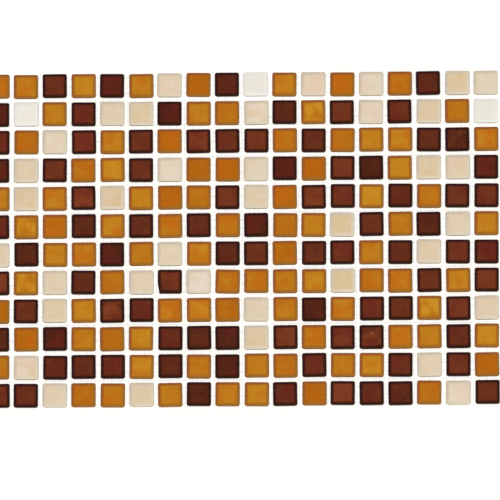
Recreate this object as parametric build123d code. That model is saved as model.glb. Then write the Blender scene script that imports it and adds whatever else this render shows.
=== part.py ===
from build123d import *
import os
import random

# Glass mosaic sheet, lying face up: small square tesserae of coloured glass, bonded side by side
# to an open fibreglass mesh with an even joint left between them.
# Lengths are in millimetres. +X runs along the rows, +Y up the columns and +Z out of the glass faces.
# The origin is the middle of the sheet, on the plane that the mesh lies on.

# Laying chart: one letter for each tessera, seen from the face, the top row first
GLASS_NODES = {
    "A": "amber_tesserae",
    "B": "brown_tesserae",
    "C": "cream_tesserae",
    "I": "ivory_tesserae",
}
LAYING_CHART = (
    "AABABACABIACACABCC",
    "BIABCCBAACBABCBCAI",
    "BACBABABBBABAAABBA",
    "BCBAABCAACBABBACCB",
    "ACABCAAABCABBABABB",
    "BAABABABABAACBABCA",
    "CBAABACABBABBABCBB",
    "BACBACBCAAAACAABAB",
    "ABCABBAAACABABBABC",
    "BABAAABBBCBABBAABA",
    "ACBBBABABAABAABCBA",
    "BBCAACABAABABBBACB",
)

# Tessera: a pressed square with blunt corners, sides that narrow to the back and an eased face
TESSERA_WIDTH = 15.0
TESSERA_THICKNESS = 4.0
BACK_WIDTH = 14.2
CORNER_CUT = 0.8
FACE_EASE_WIDTH = 0.8
FACE_EASE_DROP = 0.7
FACE_CORNER_CUT = 0.5

# Laying: the joint, and how far hand laying leaves a tessera from its place and from square
JOINT = 2.65
LAYING_SHIFT = 0.25
LAYING_TURN = 0.8
LAYING_SEED = 12

# One tessera is turned clockwise by more than the rest. Places are (row, column) in the chart.
TURNED_PLACE = (7, 8)
CLEAR_TURN = -1.6

# Two tesserae lost glass at a corner when they were snapped apart: the lower left corner of one,
# the upper right corner of the other. Length runs along the upright side, the angle is off that side.
NIPPED_PLACE = (7, 6)
NIP_LENGTH = 6.5
NIP_ANGLE = 10.5
SMALL_NIPPED_PLACE = (4, 3)
SMALL_NIP_LENGTH = 4.0
SMALL_NIP_ANGLE = 8.5

# Mesh: flat yarns in two crossing layers, with as many openings as fit behind the tesserae.
# Each yarn ends a little past the last one that it crosses.
YARN_PITCH = 5.0
YARN_WIDTH = 0.7
YARN_THICKNESS = 0.25
YARN_TAIL = 0.6

# Worked out from the sizes above
rows = len(LAYING_CHART)
columns = len(LAYING_CHART[0])
pitch = TESSERA_WIDTH + JOINT
sheet_length = columns * pitch - JOINT
sheet_width = rows * pitch - JOINT
mesh_top = 2 * YARN_THICKNESS
yarn_end = YARN_WIDTH + 2 * YARN_TAIL
warp_count = int((sheet_length - yarn_end) // YARN_PITCH) + 1
weft_count = int((sheet_width - yarn_end) // YARN_PITCH) + 1
warp_length = (weft_count - 1) * YARN_PITCH + yarn_end
weft_length = (warp_count - 1) * YARN_PITCH + yarn_end


def blunt_square(width, cut, z):
    """The eight corners, in order, of a square at height z that has lost its own four."""
    near = width / 2 - cut
    far = width / 2
    return [(near, -far, z), (far, -near, z), (far, near, z), (near, far, z),
            (-near, far, z), (-far, near, z), (-far, -near, z), (-near, -far, z)]


def flat(points):
    """The flat face inside a closed run of points."""
    return Face(Wire.make_polygon(points))


def tessera():
    """One tessera with its back on z = 0, centred on its outline."""
    back = blunt_square(BACK_WIDTH, CORNER_CUT, 0)
    shoulder = blunt_square(TESSERA_WIDTH, CORNER_CUT, TESSERA_THICKNESS - FACE_EASE_DROP)
    face = blunt_square(TESSERA_WIDTH - 2 * FACE_EASE_WIDTH, FACE_CORNER_CUT, TESSERA_THICKNESS)
    skin = [flat(back), flat(face)]
    for lower, upper in ((back, shoulder), (shoulder, face)):
        for n in range(len(lower)):
            skin.append(flat([lower[n - 1], lower[n], upper[n], upper[n - 1]]))
    return Solid(Shell(skin))


def nip(length, angle):
    """The glass lost from the left side of a tessera, from its lower corner up to that length."""
    half = TESSERA_WIDTH / 2
    to_the_left = (Align.MAX, Align.CENTER, Align.CENTER)
    lost = Box(TESSERA_WIDTH, 4 * TESSERA_WIDTH, 2 * TESSERA_THICKNESS, align=to_the_left)
    return Pos(-half, length - half, 0) * Rot(0, 0, angle) * lost


def laid_tesserae():
    """Every tessera in its place on the mesh, as lists of solids by glass."""
    whole = tessera()
    special = {
        NIPPED_PLACE: whole - nip(NIP_LENGTH, NIP_ANGLE),
        SMALL_NIPPED_PLACE: Rot(0, 0, 180) * (whole - nip(SMALL_NIP_LENGTH, SMALL_NIP_ANGLE)),
    }
    hand = random.Random(LAYING_SEED)
    laid = {glass: [] for glass in GLASS_NODES}
    for row, glasses in enumerate(LAYING_CHART):
        for column, glass in enumerate(glasses):
            x = (column - (columns - 1) / 2) * pitch + hand.uniform(-LAYING_SHIFT, LAYING_SHIFT)
            y = ((rows - 1) / 2 - row) * pitch + hand.uniform(-LAYING_SHIFT, LAYING_SHIFT)
            turn = hand.uniform(-LAYING_TURN, LAYING_TURN)
            if (row, column) == TURNED_PLACE:
                turn = CLEAR_TURN
            piece = special.get((row, column), whole)
            laid[glass].append((Pos(x, y, mesh_top) * Rot(0, 0, turn) * piece).solid())
    return laid


def yarn_places(count):
    """Evenly pitched yarn centres, the middle of them on zero."""
    return [(n - (count - 1) / 2) * YARN_PITCH for n in range(count)]


def warp_yarns():
    """The upper layer, across the rows, in contact with the backs of the tesserae."""
    z = YARN_THICKNESS * 1.5
    return [Pos(x, 0, z) * Box(YARN_WIDTH, warp_length, YARN_THICKNESS) for x in yarn_places(warp_count)]


def weft_yarns():
    """The lower layer, along the rows, which the sheet lies on."""
    z = YARN_THICKNESS * 0.5
    return [Pos(0, y, z) * Box(weft_length, YARN_WIDTH, YARN_THICKNESS) for y in yarn_places(weft_count)]


os.makedirs("parts", exist_ok=True)
for glass, pieces in laid_tesserae().items():
    export_step(Compound(pieces), f"parts/{GLASS_NODES[glass]}.step")
export_step(Compound([yarn.solid() for yarn in warp_yarns()]), "parts/mesh_warp_yarns.step")
export_step(Compound([yarn.solid() for yarn in weft_yarns()]), "parts/mesh_weft_yarns.step")
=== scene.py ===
# %% [markdown]
# # A mosaic sheet of pressed glass
# The object is one sheet of glass mosaic as it comes out of its box: small square tesserae of opaque
# glass, in amber, brown, cream and ivory, laid in a chance order and held by their backs on an open
# mesh of white fibreglass yarn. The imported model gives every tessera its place. This file gives the
# glass its rounded edges and its depth of colour, and the mesh its woven yarns.

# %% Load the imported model
import math
import random

import bmesh
import bpy
from mathutils import Matrix, Vector


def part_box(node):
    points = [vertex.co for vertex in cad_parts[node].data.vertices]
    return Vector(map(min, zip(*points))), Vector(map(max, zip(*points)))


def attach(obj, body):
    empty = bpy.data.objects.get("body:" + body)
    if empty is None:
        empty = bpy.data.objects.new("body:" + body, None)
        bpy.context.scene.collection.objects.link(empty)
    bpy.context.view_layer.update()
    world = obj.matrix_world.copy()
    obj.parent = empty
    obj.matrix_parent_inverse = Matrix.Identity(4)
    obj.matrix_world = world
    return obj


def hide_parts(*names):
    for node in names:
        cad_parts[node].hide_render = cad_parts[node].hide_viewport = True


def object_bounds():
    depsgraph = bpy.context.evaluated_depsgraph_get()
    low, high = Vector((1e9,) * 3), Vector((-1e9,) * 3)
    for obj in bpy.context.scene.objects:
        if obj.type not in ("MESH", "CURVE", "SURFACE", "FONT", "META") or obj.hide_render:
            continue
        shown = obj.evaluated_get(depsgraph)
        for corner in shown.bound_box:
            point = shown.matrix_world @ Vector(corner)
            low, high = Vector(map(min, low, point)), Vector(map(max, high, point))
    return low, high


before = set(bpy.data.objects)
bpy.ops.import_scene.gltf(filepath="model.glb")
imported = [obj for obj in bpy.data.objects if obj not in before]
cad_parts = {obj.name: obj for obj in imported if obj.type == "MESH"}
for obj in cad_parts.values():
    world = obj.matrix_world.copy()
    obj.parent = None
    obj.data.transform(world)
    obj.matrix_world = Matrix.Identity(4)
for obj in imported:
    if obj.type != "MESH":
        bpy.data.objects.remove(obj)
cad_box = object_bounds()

MM = 0.001
print("solids from", [round(value / MM, 2) for corner in cad_box for value in corner], "mm")

# %% [markdown]
# ## Camera
# The sheet was seen from almost straight above, from far off: the rows stay parallel and the squares
# look a little lower than they are wide. That squash is the cosine of a tilt of about twelve degrees.
# A camera could be turned by hand until the grid fits. Here it is aimed by numbers, because the tilt,
# the sideways swing and the roll were worked out from the places of the tesserae in the picture.

# %% Aim the camera
CAMERA_DISTANCE = 12.0
CAMERA_LENS = 1409.5
CAMERA_TARGET = Vector((4.96 * MM, -6.95 * MM, 4.0 * MM))
CAMERA_TILT = math.radians(12.32)
CAMERA_SWING = math.radians(1.601)
CAMERA_ROLL = math.radians(-0.114)

away = Vector((
    math.sin(CAMERA_SWING),
    -math.sin(CAMERA_TILT) * math.cos(CAMERA_SWING),
    math.cos(CAMERA_TILT) * math.cos(CAMERA_SWING),
)).normalized()
sideways = Vector((0, 1, 0)).cross(away).normalized()
upwards = away.cross(sideways)
aim = Matrix((sideways, upwards, away)).transposed() @ Matrix.Rotation(CAMERA_ROLL, 3, "Z")

camera_data = bpy.data.cameras.new("camera")
camera_data.lens = CAMERA_LENS
camera = bpy.data.objects.new("camera", camera_data)
bpy.context.scene.collection.objects.link(camera)
camera.matrix_world = Matrix.Translation(CAMERA_TARGET + CAMERA_DISTANCE * away) @ aim.to_4x4()
bpy.context.scene.camera = camera
print("camera at", [round(value, 3) for value in camera.location])

# %% [markdown]
# ## Light
# The joints are bright right down to the mesh and no tessera casts a shadow to one side, so the light
# came from where the camera was. One broad sun lamp is hung there, and an even pale sky fills in the
# sides. The two together light a level white surface just to white, so every colour shows about as it
# is written. The glass shows no glint either, so the lamp is kept out of reflections, as a polarising
# filter would do. Area lamps would light it as well, but they fade towards the edges of the sheet.

# %% Hang the lamp and set the sky
LAMP_SHARE = 0.84
SKY_SHARE = 0.18
LAMP_WIDTH = math.radians(8)

lamp_data = bpy.data.lights.new("lamp", "SUN")
lamp_data.energy = math.pi * LAMP_SHARE / away.z
lamp_data.angle = LAMP_WIDTH
lamp = bpy.data.objects.new("lamp", lamp_data)
bpy.context.scene.collection.objects.link(lamp)
lamp.rotation_euler = away.to_track_quat("Z", "Y").to_euler()
lamp.visible_glossy = False

sky = bpy.data.worlds.new("sky")
bpy.context.scene.world = sky
sky.use_nodes = True
sky.node_tree.nodes["Background"].inputs["Color"].default_value = (1, 1, 1, 1)
sky.node_tree.nodes["Background"].inputs["Strength"].default_value = SKY_SHARE
bpy.context.scene.view_settings.view_transform = "Standard"
print("lamp", round(lamp_data.energy, 2), "sky", SKY_SHARE)

# %% [markdown]
# ## Writing a finish
# A finish is a material made of nodes. Wiring each one by hand is slow to read, so a small class wraps
# a node's output: Python's own plus, minus and times then add the Math nodes. Everything else goes
# through one method that makes a node, sets it up and joins its sockets.

# %% Two helpers for finishes
# Where a Mix node keeps its two colours and what comes of them
MIX_FIRST, MIX_SECOND, MIX_RESULT = 6, 7, 2


class Signal:
    """What comes out of a node. On numbers, the signs + - * add Math nodes."""

    def __init__(self, finish, socket):
        self.finish = finish
        self.socket = socket

    def math(self, operation, first, second):
        return self.finish.node("Math", {"operation": operation}, {0: first, 1: second})

    def __add__(self, other):
        return self.math("ADD", self, other)

    def __sub__(self, other):
        return self.math("SUBTRACT", self, other)

    def __rsub__(self, other):
        return self.math("SUBTRACT", other, self)

    def __mul__(self, other):
        return self.math("MULTIPLY", self, other)

    __radd__ = __add__
    __rmul__ = __mul__


class Finish:
    """A material in the making."""

    def __init__(self, name):
        self.material = bpy.data.materials.new(name)
        self.material.use_nodes = True
        self.nodes = self.material.node_tree.nodes
        self.shader = self.nodes["Principled BSDF"]

    def node(self, kind, settings=None, values=None, output=0):
        """Makes a node, sets it up, joins its sockets and returns one of its outputs."""
        made = self.nodes.new("ShaderNode" + kind)
        for name, setting in (settings or {}).items():
            setattr(made, name, setting)
        for socket, value in (values or {}).items():
            self.join(value, made.inputs[socket])
        return Signal(self, made.outputs[output])

    def join(self, value, socket):
        """Links a signal to a socket, or sets the socket's own value."""
        if isinstance(value, Signal):
            self.material.node_tree.links.new(value.socket, socket)
        else:
            socket.default_value = value

    def feed(self, **sockets):
        """Joins the shader's sockets. A name is the socket's, in small letters with _ for a space."""
        by_name = {socket.name.lower().replace(" ", "_"): socket for socket in self.shader.inputs}
        for name, value in sockets.items():
            self.join(value, by_name[name])

    def apart(self, vector):
        """The three numbers of a vector."""
        first = self.node("SeparateXYZ", None, {"Vector": vector})
        return [Signal(self, socket) for socket in first.socket.node.outputs]

    def scaled(self, vector, factors, shift=(0, 0, 0)):
        """A vector times three factors, then shifted."""
        return self.node("VectorMath", {"operation": "MULTIPLY_ADD"}, {0: vector, 1: factors, 2: shift})

    def noise(self, place, scale, detail=2.0):
        """Soft random cloud, from 0 to 1."""
        return self.node("TexNoise", None, {"Vector": place, "Scale": scale, "Detail": detail})

    def step(self, value, low, high):
        """0 below low, 1 above high and a smooth rise between."""
        values = {"Value": value, "From Min": low, "From Max": high}
        return self.node("MapRange", {"interpolation_type": "SMOOTHSTEP"}, values)

    def mix(self, share, first, second):
        """Goes from the first colour to the second as share goes from 0 to 1."""
        values = {0: share, MIX_FIRST: first, MIX_SECOND: second}
        return self.node("Mix", {"data_type": "RGBA"}, values, output=MIX_RESULT)


print("signals take the signs + - *")

# %% Colours from screen values
def linear(value):
    """The light that a screen value of 0 to 255 stands for, from 0 to 1. This is the sRGB rule."""
    share = value / 255
    return ((share + 0.055) / 1.055) ** 2.4 if share > 0.04045 else share / 12.92


def colour(red, green, blue):
    """A colour from its screen values, 0 to 255, as the shader wants it."""
    return (linear(red), linear(green), linear(blue), 1.0)


print("a screen value of 128 is", round(linear(128), 3), "of full light")

# %% [markdown]
# ## Floor
# The sheet lies on a plain pale table, which shows white in the joints. A real white table is only
# about four fifths white, so the rest is added as a faint warm glow that only the eye and reflections
# see. It lights nothing, and the shadow beside the sheet stays. The glow is just enough to make the
# open table white. The joints get less of the sky, so they stay a little off white, as on a real sheet.

# %% Lay the floor
FLOOR_REACH = 15.0
FLOOR_GLOW = (0.24, 0.22, 0.2, 1)
NO_GLOW = (0, 0, 0, 1)
FLOOR_BLOTCHES = 14.0
FLOOR_ROUGHNESS = 0.9

bpy.ops.object.select_all(action="DESELECT")
bpy.ops.mesh.primitive_plane_add(size=2 * FLOOR_REACH, location=(0, 0, cad_box[0].z))
floor = bpy.context.object
floor.name = "floor"
bpy.ops.object.transform_apply(location=True, rotation=True, scale=True)

table_top = Finish("pale_table")
where = table_top.node("TexCoord", output="Object")
blotches = table_top.noise(where, FLOOR_BLOTCHES)
rays = table_top.node("LightPath").socket.node.outputs
seen = Signal(table_top, rays["Is Camera Ray"]) + Signal(table_top, rays["Is Glossy Ray"])
seen = seen + Signal(table_top, rays["Is Transmission Ray"])
glow = table_top.mix(seen, NO_GLOW, FLOOR_GLOW)
pale = table_top.mix(blotches, colour(230, 230, 228), colour(234, 234, 233))
table_top.feed(base_color=pale, roughness=FLOOR_ROUGHNESS, specular_ior_level=0.0)
table_top.feed(emission_color=glow, emission_strength=1.0)
floor.data.materials.append(table_top.material)
print("floor at", round(cad_box[0].z / MM, 3), "mm")

# %% [markdown]
# ## Where the tesserae lie
# Hand laying leaves each tessera a little off its place and a little turned. The solids of the packed
# model hold both, so nothing is guessed here: the widest outline of each solid is found by its height,
# its longest side gives the turn and its middle gives the place. Where the outline stops short, glass
# was nipped off straight through, from one loose end of the outline to the other.

# %% Find the widest outline of each solid
GLASSES = ("amber", "brown", "cream", "ivory")
PITCH = 17.65 * MM
ROWS = 12
COLUMNS = 18
SHOULDER_DROP = 0.7 * MM
LEVEL_SLACK = 0.02 * MM

face_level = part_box("amber_tesserae")[1].z
mesh_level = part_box("mesh_warp_yarns")[1].z


def outlines(node):
    """The edges at a node's widest level, as pairs of points, by row and column."""
    shoulder_level = face_level - SHOULDER_DROP
    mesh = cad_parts[node].data
    found = {}
    for edge in mesh.edges:
        ends = [mesh.vertices[index].co.copy() for index in edge.vertices]
        if all(abs(end.z - shoulder_level) < LEVEL_SLACK for end in ends):
            middle = (ends[0] + ends[1]) / 2
            row = math.floor(ROWS / 2 - middle.y / PITCH)
            column = math.floor(COLUMNS / 2 + middle.x / PITCH)
            same = frozenset(tuple(end) for end in ends)
            found.setdefault((row, column), {})[same] = ends
    return {cell: list(edges.values()) for cell, edges in found.items()}


glass_outlines = {glass: outlines(glass + "_tesserae") for glass in GLASSES}
print({glass: len(found) for glass, found in glass_outlines.items()}, "outlines")

# %% Turn each outline into a place
QUARTER = math.pi / 2


def loose_ends(points):
    """The points that only one edge of an outline has. A closed outline has none."""
    return [p for p in points if sum((p - other).length < LEVEL_SLACK for other in points) == 1]


def laid(outline):
    """A tessera's centre and turn, and its nip as a point and an outward direction, or None."""
    longest = max(outline, key=lambda ends: (ends[1] - ends[0]).length)
    along = longest[1] - longest[0]
    turn = math.atan2(along.y, along.x)
    turn -= round(turn / QUARTER) * QUARTER
    points = [Matrix.Rotation(-turn, 3, "Z") @ end for ends in outline for end in ends]
    spans = [[point[axis] for point in points] for axis in (0, 1)]
    middle = Vector([(min(span) + max(span)) / 2 for span in spans] + [0])
    nip = None
    loose = loose_ends(points)
    if loose:
        first, second = loose
        point = (first + second) / 2 - middle
        point.z = 0
        outward = Vector((second.y - first.y, first.x - second.x, 0)).normalized()
        nip = (point, outward if outward.dot(point) > 0 else -outward)
    return Matrix.Rotation(turn, 3, "Z") @ middle, turn, nip


places = {}
for glass, found in glass_outlines.items():
    places[glass] = {cell: laid(outline) for cell, outline in sorted(found.items())}
    nips = [cell for cell, (centre, turn, nip) in places[glass].items() if nip]
    turns = [abs(math.degrees(turn)) for centre, turn, nip in places[glass].values()]
    print(glass, "turned by up to", round(max(turns), 2), "degrees, nipped at", nips)

# %% [markdown]
# ## One tessera
# Each tessera is a pressed square of glass, 15 mm across and 4 mm thick. Its sides narrow towards the
# back so that it leaves the mould, its corners are round, and the fire has eased the edge of its face.
# The same could be had by sculpting or by a bevel modifier on a box. Here a box is shaped step by step
# in edit mode, as at a bench, because each step is one real feature. It is made once, with few faces,
# since more than two hundred copies follow.

# %% A way to pick parts of a mesh in edit mode
def pick(piece, kind, wanted):
    """In edit mode, selects only those vertices, edges or faces for which wanted() is true."""
    bpy.ops.mesh.select_mode(type=kind)
    bpy.ops.mesh.select_all(action="DESELECT")
    shape = bmesh.from_edit_mesh(piece.data)
    for element in {"VERT": shape.verts, "EDGE": shape.edges, "FACE": shape.faces}[kind]:
        if wanted(element):
            element.select_set(True)
    bmesh.update_edit_mesh(piece.data)


def level(element, height):
    """Whether all of an edge or face lies at one height."""
    return all(abs(vertex.co.z - height) < LEVEL_SLACK for vertex in element.verts)


print("heights count as level within", round(LEVEL_SLACK / MM, 2), "mm")

# %% Measure one tessera
TESSERA_WIDTH = 15.0 * MM
BACK_WIDTH = 14.2 * MM
CORNER_RADIUS = 1.1 * MM
CORNER_STEPS = 2
EASE = 0.85 * MM
EASE_STEPS = 2
CROWN = 0.06 * MM
RIM_WIDTH = 2.6 * MM

thickness = face_level - mesh_level
slab = thickness - CROWN
# The top of the box is a little wider than the tessera, and easing its edge takes that off again
top_width = BACK_WIDTH + (TESSERA_WIDTH - BACK_WIDTH) * slab / (slab - EASE)
inner_share = (TESSERA_WIDTH / 2 - RIM_WIDTH) / (top_width / 2 - EASE)
print("a tessera is", round(thickness / MM, 2), "mm thick, with a crown of", round(CROWN / MM, 2), "mm")

# %% Press one tessera
SMOOTH_UP_TO = math.radians(40)


def upright(edge):
    """Whether an edge runs from the back to the face."""
    return abs(edge.verts[0].co.z - edge.verts[1].co.z) > thickness / 2


def press(name, nip=None):
    """One tessera with its back on z = 0, less what was nipped off it."""
    bpy.ops.object.select_all(action="DESELECT")
    size = (top_width, top_width, slab)
    bpy.ops.mesh.primitive_cube_add(size=1, location=(0, 0, slab / 2), scale=size)
    piece = bpy.context.object
    piece.name = name
    bpy.ops.object.transform_apply(location=True, rotation=True, scale=True)
    bpy.ops.object.mode_set(mode="EDIT")
    pick(piece, "VERT", lambda vertex: vertex.co.z < LEVEL_SLACK)
    narrower = BACK_WIDTH / top_width
    bpy.ops.transform.resize(value=(narrower, narrower, 1), center_override=(0, 0, 0))
    pick(piece, "EDGE", upright)
    bpy.ops.mesh.bevel(offset=CORNER_RADIUS, segments=CORNER_STEPS, affect="EDGES")
    pick(piece, "EDGE", lambda edge: level(edge, slab))
    bpy.ops.mesh.bevel(offset=EASE, segments=EASE_STEPS, affect="EDGES")
    pick(piece, "FACE", lambda face: level(face, slab))
    bpy.ops.mesh.extrude_region()
    bpy.ops.transform.resize(value=(inner_share, inner_share, 1), center_override=(0, 0, 0))
    bpy.ops.transform.translate(value=(0, 0, CROWN))
    bpy.ops.mesh.select_all(action="SELECT")
    if nip:
        bpy.ops.mesh.bisect(plane_co=nip[0], plane_no=nip[1], use_fill=True, clear_outer=True)
        bpy.ops.mesh.select_all(action="SELECT")
    bpy.ops.mesh.normals_make_consistent(inside=False)
    bpy.ops.object.mode_set(mode="OBJECT")
    bpy.ops.object.shade_smooth_by_angle(angle=SMOOTH_UP_TO)
    return piece


whole = press("whole_tessera")
whole_size = [round(side / MM, 2) for side in whole.dimensions]
print("a tessera has", len(whole.data.polygons), "faces and is", whole_size, "mm")

# %% [markdown]
# ## What a tessera tells its finish
# A pattern on the glass has to follow each tessera, not the sheet. Two notes are therefore kept on
# its points: its place within the tessera, in millimetres, and how near it is to the outline, where
# the glass is given a deeper, darker colour that is partly painted shade of the rolled edge. A UV map
# could hold the first, but not the second.

# %% Note the place and the rim on a tessera's points
def from_outline(point, nip):
    """How far inside the outline a point is."""
    inside = TESSERA_WIDTH / 2 - max(abs(point.x), abs(point.y))
    if nip:
        inside = min(inside, (nip[0] - point).dot(nip[1]))
    return max(inside, 0)


def note(mesh, name, kind, values):
    """Keeps one value, or three, for each point of a mesh."""
    field = "vector" if kind == "FLOAT_VECTOR" else "value"
    mesh.attributes.new(name, kind, "POINT").data.foreach_set(field, values)


def note_form(piece, nip=None):
    """Notes the place and the rim of a tessera that hasn't been laid yet."""
    points = [vertex.co.copy() for vertex in piece.data.vertices]
    note(piece.data, "place", "FLOAT_VECTOR", [value / MM for point in points for value in point])
    rim = [1 - min(from_outline(Vector((p.x, p.y, 0)), nip) / RIM_WIDTH, 1) for p in points]
    note(piece.data, "rim", "FLOAT", rim)


note_form(whole)
rims = [point.value for point in whole.data.attributes["rim"].data]
print("the rim goes from", round(min(rims), 2), "to", round(max(rims), 2), "over", len(rims), "points")

# %% [markdown]
# ## Laying
# A copy of the tessera goes to each place that was read from the solids, with the turn it has there.
# Each copy also gets three chance numbers, its cast, which the finish turns into tone, tinge and
# clouds, because no two pourings of glass match. Nine tesserae are plainly two-toned or blotched to
# the eye, and they are named by row and column. The copies of one glass are joined, and stand for the
# plain solids of that glass.

# %% Give each tessera its cast
CLOUDED = {(1, 9), (1, 11), (5, 1), (7, 1), (8, 4), (8, 6), (8, 15), (9, 13), (10, 1)}
CLOUDED_TONE = 0.85
MOST_CLOUDINESS = 0.7
TONE_MIDDLE = 0.45
TONE_SPREAD = 0.27


def cast_of(cell, hand):
    """Tone, warmth and cloudiness of one tessera."""
    tone = min(max(hand.gauss(TONE_MIDDLE, TONE_SPREAD), 0), 1)
    warmth, cloudiness = hand.random(), hand.uniform(0, MOST_CLOUDINESS)
    if cell in CLOUDED:
        tone, cloudiness = CLOUDED_TONE, 1.0
    return tone, warmth, cloudiness


print(len(CLOUDED), "tesserae are fully clouded, the rest by up to", MOST_CLOUDINESS)

# %% Lay every tessera
CAST_SEED = 7


def joined(copies, name):
    """Several objects as one, under a new name."""
    bpy.ops.object.select_all(action="DESELECT")
    for copy in copies:
        copy.select_set(True)
    bpy.context.view_layer.objects.active = copies[0]
    bpy.ops.object.join()
    bpy.context.object.name = name
    return bpy.context.object


def lay(glass, hand):
    """Copies tesserae to all the places of one glass and joins them."""
    copies = []
    for cell, (centre, turn, nip) in places[glass].items():
        source = whole
        if nip:
            source = press("nipped_tessera", nip)
            note_form(source, nip)
        copy = bpy.data.objects.new(glass, source.data.copy())
        bpy.context.scene.collection.objects.link(copy)
        at = Matrix.Translation((centre.x, centre.y, mesh_level))
        copy.data.transform(at @ Matrix.Rotation(turn, 4, "Z"))
        note(copy.data, "cast", "FLOAT_VECTOR", list(cast_of(cell, hand)) * len(copy.data.vertices))
        if nip:
            bpy.data.objects.remove(source)
        copies.append(copy)
    return joined(copies, glass + "_glass")


chance = random.Random(CAST_SEED)
glass_pieces = {glass: lay(glass, chance) for glass in GLASSES}
bpy.data.objects.remove(whole)
for glass, piece in glass_pieces.items():
    print(piece.name, len(piece.data.polygons), "faces")

# %% [markdown]
# ## Mesh
# The backing is a leno weave, the kind that doesn't slip: flat weft yarns run along the rows, and the
# warp yarns come in pairs that hold each weft between them, one yarn above and one below, and cross
# over between one weft and the next. A flat grid with a picture of a weave would look the same from far
# off, but not at the cut edges. One pitch of a yarn is a six-sided tube with a few rings that are
# moved one by one. Its six sides are turned so that it is flat above and below and thins out to an edge
# on either side, as a pressed bundle of fibres does. An array repeats it along the yarn, and copies of
# the yarn go side by side.

# %% Measure the mesh
YARN_PITCH = 5.0 * MM
YARN_WIDTH = 0.7 * MM

warp_low, warp_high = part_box("mesh_warp_yarns")
weft_low, weft_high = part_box("mesh_weft_yarns")
mesh_middle = (weft_low.z + warp_high.z) / 2
warp_count = round((warp_high.x - warp_low.x - YARN_WIDTH) / YARN_PITCH) + 1
weft_count = round((weft_high.y - weft_low.y - YARN_WIDTH) / YARN_PITCH) + 1
print(warp_count, "warp pairs and", weft_count, "wefts")

# %% Make one length of yarn
MERGE = 0.01 * MM
YARN_SIDES = 6
HALF_SIDE = math.pi / YARN_SIDES


def tube(width, height, length, rings):
    """An open tube along Y, flat above and below, with extra rings at those places."""
    bpy.ops.object.select_all(action="DESELECT")
    bpy.ops.mesh.primitive_cylinder_add(
        vertices=YARN_SIDES, radius=0.5, depth=1, end_fill_type="NOTHING", rotation=(QUARTER, HALF_SIDE, 0))
    piece = bpy.context.object
    bpy.ops.object.transform_apply(location=True, rotation=True, scale=True)
    bpy.ops.object.mode_set(mode="EDIT")
    bpy.ops.mesh.select_all(action="SELECT")
    flat_to_flat = math.cos(HALF_SIDE)
    bpy.ops.transform.resize(value=(width, length, height / flat_to_flat), center_override=(0, 0, 0))
    for ring in rings:
        bpy.ops.mesh.select_all(action="SELECT")
        bpy.ops.mesh.bisect(plane_co=(0, ring, 0), plane_no=(0, 1, 0))
    return piece


def move_ring(piece, ring, offset, spread=1.0):
    """Widens the points at one place along a tube, and moves them."""
    pick(piece, "VERT", lambda vertex: abs(vertex.co.y - ring) < MERGE)
    bpy.ops.transform.resize(value=(spread, 1, 1), center_override=(0, 0, 0))
    bpy.ops.transform.translate(value=offset)


print("the flat of a yarn takes", round(math.sin(HALF_SIDE), 2), "of its width")

# %% Run a yarn out to its length
SPARE_UNITS = 3
ROUND_UP_TO = math.radians(50)


def run_out(piece, unit, crossing, first, half_length):
    """Repeats a tube along Y so that its crossing falls on the first, and cuts it to length."""
    bpy.ops.object.mode_set(mode="OBJECT")
    repeat = piece.modifiers.new("repeat", "ARRAY")
    repeat.count = 2 * math.ceil(half_length / unit) + SPARE_UNITS
    repeat.use_relative_offset = False
    repeat.use_constant_offset = True
    repeat.constant_offset_displace = (0, unit, 0)
    repeat.use_merge_vertices = True
    repeat.merge_threshold = MERGE
    bpy.ops.object.modifier_apply(modifier=repeat.name)
    piece.data.transform(Matrix.Translation((0, first - crossing - unit, 0)))
    bpy.ops.object.mode_set(mode="EDIT")
    for end in (-1, 1):
        bpy.ops.mesh.select_all(action="SELECT")
        bpy.ops.mesh.bisect(
            plane_co=(0, end * half_length, 0), plane_no=(0, end, 0), use_fill=True, clear_outer=True)
    bpy.ops.mesh.select_all(action="SELECT")
    bpy.ops.mesh.normals_make_consistent(inside=False)
    bpy.ops.object.mode_set(mode="OBJECT")
    bpy.ops.object.shade_smooth_by_angle(angle=ROUND_UP_TO)
    return piece


tail = round((warp_high.y - weft_high.y) / MM, 2)
print("a yarn ends", tail, "mm past the last one that it crosses")

# %% Weave the warp pairs
WEFT_THICKNESS = 0.22 * MM
WARP_WIDTH = 0.36 * MM
WARP_THICKNESS = 0.13 * MM
WARP_LEAN = 0.17 * MM
CROSS_LIFT = 0.07 * MM

first_weft = weft_low.y + YARN_WIDTH / 2
first_warp = warp_low.x + YARN_WIDTH / 2
lift = (WEFT_THICKNESS + WARP_THICKNESS) / 2


def warp_yarn(side):
    """One yarn of a pair. It is over the wefts where side is 1 and under them where it is -1."""
    half = YARN_PITCH / 2
    yarn = tube(WARP_WIDTH, WARP_THICKNESS, 2 * YARN_PITCH, (-half, 0, half))
    for ring, lean in ((-half, -1), (half, 1)):
        move_ring(yarn, ring, (side * lean * WARP_LEAN, 0, side * lift))
    for ring in (-YARN_PITCH, 0, YARN_PITCH):
        move_ring(yarn, ring, (0, 0, side * CROSS_LIFT))
    return run_out(yarn, 2 * YARN_PITCH, -half, first_weft, warp_high.y)


def side_by_side(yarn, turn, count, first, along):
    """Copies of a yarn at even pitches. The yarn itself is used up."""
    copies = []
    for number in range(count):
        copy = bpy.data.objects.new(yarn.name, yarn.data.copy())
        bpy.context.scene.collection.objects.link(copy)
        copy.data.transform(Matrix.Rotation(turn, 4, "Z"))
        at = (first + number * YARN_PITCH) * along + Vector((0, 0, mesh_middle))
        copy.data.transform(Matrix.Translation(at))
        copies.append(copy)
    bpy.data.objects.remove(yarn)
    return copies


pairs = []
for side in (1, -1):
    pairs += side_by_side(warp_yarn(side), 0, warp_count, first_warp, Vector((1, 0, 0)))
warp = joined(pairs, "warp_yarns")
print(warp.name, len(warp.data.polygons), "faces")

# %% Weave the wefts
WEFT_PINCH = 0.85

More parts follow.
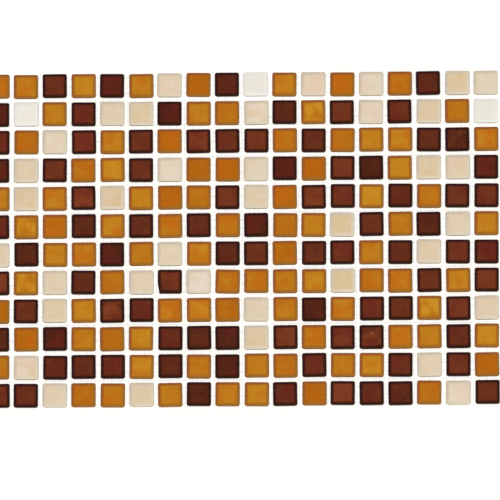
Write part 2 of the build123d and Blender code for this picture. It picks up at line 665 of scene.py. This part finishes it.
weft_yarn = tube(YARN_WIDTH, WEFT_THICKNESS, YARN_PITCH, (0,))
move_ring(weft_yarn, 0, (0, 0, 0), WEFT_PINCH)
weft_yarn = run_out(weft_yarn, YARN_PITCH, 0, first_warp, weft_high.x)
weft = joined(side_by_side(weft_yarn, -QUARTER, weft_count, first_weft, Vector((0, 1, 0))), "weft_yarns")
print(weft.name, len(weft.data.polygons), "faces")

# %% [markdown]
# ## Glass
# The glass is poured in many small batches, then pressed. Within one colour no two tesserae agree, and
# inside each there are soft clouds and faint streaks. The cloudiest browns also hold a few pale specks.
# Where the face rolls over to the sides the colour goes deep. This is partly the deeper colour where
# one looks through more glass and partly painted shade of the rolled edge. It is redder at the top and
# left and browner at the bottom and right, which is painted light that falls differently on each side.
# A photograph pasted on each would show its pixels. A finish that is worked out from the place, the
# rim and the cast of each tessera stays sharp and never repeats. Place is in millimetres, so the scale
# of a pattern is its waves to the millimetre.

# %% Read a tessera's notes in its finish
CAST_SHIFT = (173.0, 131.0, 97.0)


class GlassFinish(Finish):
    """A finish that knows the place, rim and cast of the tessera that it is on."""

    def __init__(self, name):
        super().__init__(name)
        place = self.noted("place", "Vector")
        cast = self.noted("cast", "Vector")
        self.rim = self.noted("rim", "Fac")
        self.tone, self.warmth, self.cloudiness = self.apart(cast)
        self.x, self.y, self.z = self.apart(place)
        self.own_place = self.scaled(cast, CAST_SHIFT, place)

    def noted(self, name, output):
        """What was noted on the points of the tessera."""
        return self.node("Attribute", {"attribute_name": name}, output=output)


print("the cast moves a pattern by up to", max(CAST_SHIFT), "mm, so no two tesserae share it")

# %% Cloud the glass
NOISE_MIDDLE = 0.5
CLOUD_SCALE = 0.16
CLOUD_SWING = 0.55
MOTTLE_SCALE = 0.5
MOTTLE_SWING = 0.45
PATCH_SCALE = 0.13
PATCH_EDGE = (0.25, 0.75)
PATCH_SWING = 1.1
VERY_CLOUDY = (0.6, 1.0)


def clouded(finish, tone, mottle):
    """The tone with soft clouds and a finer mottle."""
    clouds = finish.noise(finish.own_place, CLOUD_SCALE)
    return tone + (clouds - NOISE_MIDDLE) * CLOUD_SWING + (mottle - NOISE_MIDDLE) * MOTTLE_SWING


def patched(finish, tone):
    """The tone with broad patches, which only very cloudy tesserae have."""
    patch = finish.step(finish.noise(finish.own_place, PATCH_SCALE, 0.0), *PATCH_EDGE)
    return tone + (patch - NOISE_MIDDLE) * finish.step(finish.cloudiness, *VERY_CLOUDY) * PATCH_SWING


print("a cloud is about", round(1 / CLOUD_SCALE, 1), "mm across, mottle", round(1 / MOTTLE_SCALE, 1), "mm")

# %% Streak the glass
STREAKS_UP = (0.3, 0.1, 0.25)
STREAKS_ACROSS = (0.1, 0.3, 0.25)
WARMTH_TURNS_STREAKS = (0.49, 0.51)
STREAK_EDGE = (0.4, 0.7)
STREAK_MIDDLE = 0.2
STREAK_SWING = 0.15


def streaked(finish, tone):
    """The tone with the streaks of the pour, upright on half of the tesserae and level on the rest."""
    upright_streaks = finish.noise(finish.scaled(finish.own_place, STREAKS_UP), 1.0, 1.0)
    level_streaks = finish.noise(finish.scaled(finish.own_place, STREAKS_ACROSS), 1.0, 1.0)
    turned = finish.step(finish.warmth, *WARMTH_TURNS_STREAKS)
    streaks = upright_streaks + (level_streaks - upright_streaks) * turned
    streak = finish.step(streaks, *STREAK_EDGE) * finish.cloudiness
    return tone + (streak - STREAK_MIDDLE) * STREAK_SWING


print("a streak is about", round(STREAKS_UP[0] / STREAKS_UP[1]), "times as long as it is wide")

# %% Tinge the glass and scatter seeds and specks
# Seeds are the tiny bubbles of poured glass
TINGE_SCALE = 0.12
TINGE_WARMTH = 0.3
TINGE_EDGE = (0.4, 0.75)
SEED_SCALE = 0.8
SEED_EDGE = (0.03, 0.09)
SPECK_SCALE = 0.35
SPECK_EDGE = (0.0, 0.26)
SPECK_CLOUDINESS = (0.5, 1.0)
SPECK_MOTTLE = (0.42, 0.6)


def tinged(finish):
    """Where the glass takes its third tone, which is more of a warm tessera."""
    drift = finish.noise(finish.own_place, TINGE_SCALE, 1.0)
    return finish.step(drift + (finish.warmth - NOISE_MIDDLE) * TINGE_WARMTH, *TINGE_EDGE)


def dots(finish, scale, edge):
    """1 in small round dots and 0 between them."""
    values = {"Vector": finish.own_place, "Scale": scale}
    away_from_dot = finish.node("TexVoronoi", None, values, output="Distance")
    return 1 - finish.step(away_from_dot, *edge)


def specks(finish, mottle):
    """Dots that show only on cloudy tesserae, and there where the mottle is light."""
    cloudy_dots = dots(finish, SPECK_SCALE, SPECK_EDGE) * finish.step(finish.cloudiness, *SPECK_CLOUDINESS)
    return cloudy_dots * finish.step(mottle, *SPECK_MOTTLE)


print("seeds are", round(1 / SEED_SCALE, 1), "mm apart and specks", round(1 / SPECK_SCALE, 1), "mm")

# %% Colour the rim, the sides and the back
# The deep rim colour is partly the glass's own and partly painted shade of the rolled edge.
RIPPLE_SCALE = 0.7
RIPPLE_SWING = 0.25
RIM_COLOUR_AND_SHADE_EDGE = (0.0, 0.6)
PAINTED_LIGHT_SIDE_SPAN = (-7.0, 7.0)
SIDE_EDGE = (2.2, 3.2)
FILM_HEIGHT = (0.05, 0.3)
FILM_SCALE = 0.35
FILM_EDGE = (0.32, 0.55)


def rim_colour_and_shade(finish):
    """How much of the rim's colour shows, which ripples a little. That colour is partly deeper glass and
    partly painted shade.
    """
    ripple = (finish.noise(finish.own_place, RIPPLE_SCALE) - NOISE_MIDDLE) * RIPPLE_SWING
    return finish.step(finish.rim + ripple * finish.rim, *RIM_COLOUR_AND_SHADE_EDGE)


def sides(finish):
    """1 on the sides, which the mould leaves matt, and 0 on the face."""
    return 1 - finish.step(finish.z, *SIDE_EDGE)


def film(finish):
    """Patches of dried adhesive on the back."""
    patches = finish.noise(finish.own_place, FILM_SCALE, 3.0)
    return (1 - finish.step(finish.z, *FILM_HEIGHT)) * finish.step(patches, *FILM_EDGE)


full_colour_shaded_rim = (1 - RIM_COLOUR_AND_SHADE_EDGE[1]) * RIM_WIDTH
print("the rim has its full colour in the outer", round(full_colour_shaded_rim / MM, 1), "mm")

# %% Give the glass its relief and its shine
GLASS_SHINE = 0.25
GLASS_ROUGHNESS = 0.22
WEAR_SCALE = 1.1
WEAR_ROUGHNESS = 0.1
SIDE_ROUGHNESS = 0.25
FILM_ROUGHNESS = 0.2
DIMPLE_SCALE = 0.3
SEED_HEIGHT = -0.05
SIDE_GRAIN = 0.4
RELIEF_STRENGTH = 0.25
RELIEF_HEIGHT = 0.05 * MM


def polish(finish, seed, side, milk):
    """Feeds the relief and the shine. The sides and the film are duller than the face."""
    wear = finish.noise(finish.own_place, WEAR_SCALE, 3.0)
    dimples = finish.noise(finish.own_place, DIMPLE_SCALE, 1.0) + seed * SEED_HEIGHT
    dimples = dimples + side * wear * SIDE_GRAIN
    relief = {"Strength": RELIEF_STRENGTH, "Distance": RELIEF_HEIGHT, "Height": dimples}
    bump = finish.node("Bump", None, relief, output="Normal")
    roughness = GLASS_ROUGHNESS + (wear - NOISE_MIDDLE) * WEAR_ROUGHNESS
    roughness = roughness + side * SIDE_ROUGHNESS + milk * FILM_ROUGHNESS
    finish.feed(roughness=roughness, normal=bump, specular_ior_level=GLASS_SHINE)


print("roughness is", GLASS_ROUGHNESS, "on the face and", GLASS_ROUGHNESS + SIDE_ROUGHNESS, "on the sides")

# %% Mix the glass
SPECK_COLOUR = colour(196, 150, 130)
FILM_COLOUR = colour(226, 223, 214)
TINGE_SHARE = 0.6
SEED_SHARE = 0.12
SIDE_SHARE = 0.6
FILM_SHARE = 0.6
FROST = 0.04


def mix_glass(name, deep, light, warm, upper_rim_tone_and_shade, lower_rim_tone_and_shade, speck_share=0.0):
    """Opaque pressed glass between two tones, tinged with a third, with a deep rim that is partly painted
    shade, coloured apart at the upper and lower sides as painted light.
    """
    finish = GlassFinish(name)
    mottle = finish.noise(finish.own_place, MOTTLE_SCALE)
    tone = streaked(finish, clouded(finish, finish.tone, mottle))
    body = finish.mix(patched(finish, tone), deep, light)
    body = finish.mix(tinged(finish) * TINGE_SHARE, body, warm)
    seed = dots(finish, SEED_SCALE, SEED_EDGE)
    body = finish.mix(seed * SEED_SHARE, body, light)
    if speck_share:
        body = finish.mix(specks(finish, mottle) * speck_share, body, SPECK_COLOUR)
    # Painted light: the rim's colour differs between the upper left and the lower right, as light falls on
    # each side.
    lower = finish.step(finish.x - finish.y, *PAINTED_LIGHT_SIDE_SPAN)
    body = finish.mix(rim_colour_and_shade(finish), body, finish.mix(lower, upper_rim_tone_and_shade, lower_rim_tone_and_shade))
    side = sides(finish)
    milk = film(finish)
    body = finish.mix(side * SIDE_SHARE, body, deep)
    body = finish.mix(side * FROST + milk * FILM_SHARE, body, FILM_COLOUR)
    finish.feed(base_color=body)
    polish(finish, seed, side, milk)
    return finish.material


# The last two colours of each glass are its rim, upper left then lower right: partly deeper glass and
# partly painted shade, set apart from each other as painted light.
glass_finishes = {
    "amber": mix_glass(
        "amber_glass", colour(178, 98, 8), colour(200, 140, 32), colour(192, 98, 10),
        colour(151, 86, 38), colour(157, 103, 34)),
    "brown": mix_glass(
        "brown_glass", colour(76, 31, 16), colour(125, 58, 30), colour(103, 30, 23),
        colour(46, 16, 16), colour(50, 22, 9), speck_share=0.5),
    "cream": mix_glass(
        "cream_glass", colour(217, 191, 148), colour(230, 216, 196), colour(228, 200, 174),
        colour(209, 194, 174), colour(222, 209, 185)),
    "ivory": mix_glass(
        "ivory_glass", colour(232, 226, 212), colour(243, 240, 231), colour(238, 228, 212),
        colour(233, 230, 222), colour(240, 237, 229)),
}
for glass, piece in glass_pieces.items():
    piece.data.materials.clear()
    piece.data.materials.append(glass_finishes[glass])
    print(glass, "uses", len(glass_finishes[glass].node_tree.nodes), "nodes")

# %% [markdown]
# ## Yarn
# The yarn is a bundle of fine glass fibres in a coat of white size, so it is white, a little shiny and
# grooved along its length. The grooves are too fine to model. They are a noise that is drawn out along
# the yarn, which runs one way in the warp and the other in the weft.

# %% Coat the yarn
# Object coordinates are in metres, so these scales are waves to the metre
ALONG = 300.0
ACROSS = 9000.0
COAT_BLOTCHES = 90.0
BLOTCH_SHARE = 0.25
COAT_ROUGHNESS = 0.45
BLOTCH_ROUGHNESS = 0.2
GROOVE_STRENGTH = 0.4
GROOVE_DEPTH = 0.03 * MM


def coat_yarn(name, scales):
    """White coated fibre bundle, grooved along the axis that has the smallest scale."""
    finish = Finish(name)
    place = finish.node("TexCoord", output="Object")
    fibres = finish.noise(finish.scaled(place, scales), 1.0)
    blotches = finish.noise(place, COAT_BLOTCHES)
    white = finish.mix(fibres, colour(249, 249, 245), colour(255, 254, 252))
    white = finish.mix(blotches * BLOTCH_SHARE, white, colour(247, 244, 236))
    grooves = {"Strength": GROOVE_STRENGTH, "Distance": GROOVE_DEPTH, "Height": fibres}
    bump = finish.node("Bump", None, grooves, output="Normal")
    roughness = COAT_ROUGHNESS + (blotches - NOISE_MIDDLE) * BLOTCH_ROUGHNESS
    finish.feed(base_color=white, roughness=roughness, normal=bump)
    return finish.material


warp.data.materials.append(coat_yarn("warp_coat", (ACROSS, ALONG, ACROSS)))
weft.data.materials.append(coat_yarn("weft_coat", (ALONG, ACROSS, ACROSS)))
print("a groove is about", round(ACROSS / ALONG), "times as long as it is wide")

# %% [markdown]
# ## Joining the pieces to the model
# Nothing on the sheet moves by itself, so every piece rides on its one body. Each detailed piece
# stands for the plain solids of its kind.

# %% Ride and replace
for glass, piece in glass_pieces.items():
    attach(piece, "root")
    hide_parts(glass + "_tesserae")
    glass + "_glass"
    print(piece.name, "stands for", glass + "_tesserae")
for piece, node in ((warp, "mesh_warp_yarns"), (weft, "mesh_weft_yarns")):
    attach(piece, "root")
    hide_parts(node)
    print(piece.name, "stands for", node)
